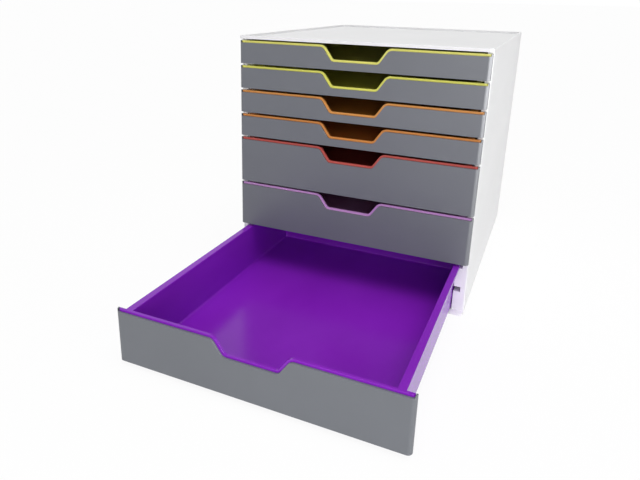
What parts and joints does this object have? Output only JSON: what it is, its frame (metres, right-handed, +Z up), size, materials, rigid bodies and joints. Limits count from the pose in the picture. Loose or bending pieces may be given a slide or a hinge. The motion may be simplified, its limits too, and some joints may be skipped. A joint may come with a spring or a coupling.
{
  "type": "plastic drawer tower",
  "caption": "Free-standing desktop drawer box with slim and deep sliding trays behind notched front covers; the bottom drawer is pulled out.",
  "frame": {"origin": "on the table, at the middle of the closed housing's footprint", "axes": "+X to the right seen from the front, +Y to the back, +Z up; the drawers open towards -Y"},
  "size_m": [0.292, 0.596, 0.303],
  "materials": {
    "housing_plastic": "light grey, finely textured, satin",
    "cover_plastic": "blue-grey, satin",
    "pad_rubber": "soft, matt",
    "yellow_tray": "smooth, semi-gloss, slightly translucent",
    "lime_tray": "smooth, semi-gloss, slightly translucent",
    "orange_tray": "smooth, semi-gloss, slightly translucent",
    "deep_orange_tray": "smooth, semi-gloss, slightly translucent",
    "red_tray": "smooth, semi-gloss, slightly translucent",
    "lilac_tray": "smooth, semi-gloss, slightly translucent",
    "violet_tray": "smooth, semi-gloss, slightly translucent"
  },
  "bodies": {
    "housing": {"top_cover": "housing_plastic", "left_side_panel": "housing_plastic", "right_side_panel": "housing_plastic", "left_runner_frame": "housing_plastic", "right_runner_frame": "housing_plastic", "back_panel": "housing_plastic", "base_plate": "housing_plastic", "rubber_feet": "pad_rubber"},
    "drawer_1": {"tray_1": "yellow_tray", "front_cover_1": "cover_plastic"},
    "drawer_2": {"tray_2": "lime_tray", "front_cover_2": "cover_plastic"},
    "drawer_3": {"tray_3": "orange_tray", "front_cover_3": "cover_plastic"},
    "drawer_4": {"tray_4": "deep_orange_tray", "front_cover_4": "cover_plastic"},
    "drawer_5": {"tray_5": "red_tray", "front_cover_5": "cover_plastic"},
    "drawer_6": {"tray_6": "lilac_tray", "front_cover_6": "cover_plastic"},
    "drawer_7": {"tray_7": "violet_tray", "front_cover_7": "cover_plastic"}
  },
  "joints": [
    {"name": "drawer_1_slide", "type": "slide", "parent": "housing", "child": "drawer_1", "axis": [0, -1, 0], "range_m": [0, 0.29]},
    {"name": "drawer_2_slide", "type": "slide", "parent": "housing", "child": "drawer_2", "axis": [0, -1, 0], "range_m": [0, 0.29]},
    {"name": "drawer_3_slide", "type": "slide", "parent": "housing", "child": "drawer_3", "axis": [0, -1, 0], "range_m": [0, 0.29]},
    {"name": "drawer_4_slide", "type": "slide", "parent": "housing", "child": "drawer_4", "axis": [0, -1, 0], "range_m": [0, 0.29]},
    {"name": "drawer_5_slide", "type": "slide", "parent": "housing", "child": "drawer_5", "axis": [0, -1, 0], "range_m": [0, 0.29]},
    {"name": "drawer_6_slide", "type": "slide", "parent": "housing", "child": "drawer_6", "axis": [0, -1, 0], "range_m": [0, 0.29]},
    {"name": "drawer_7_slide", "type": "slide", "parent": "housing", "child": "drawer_7", "axis": [0, -1, 0], "range_m": [-0.24, 0.05]}
  ]
}
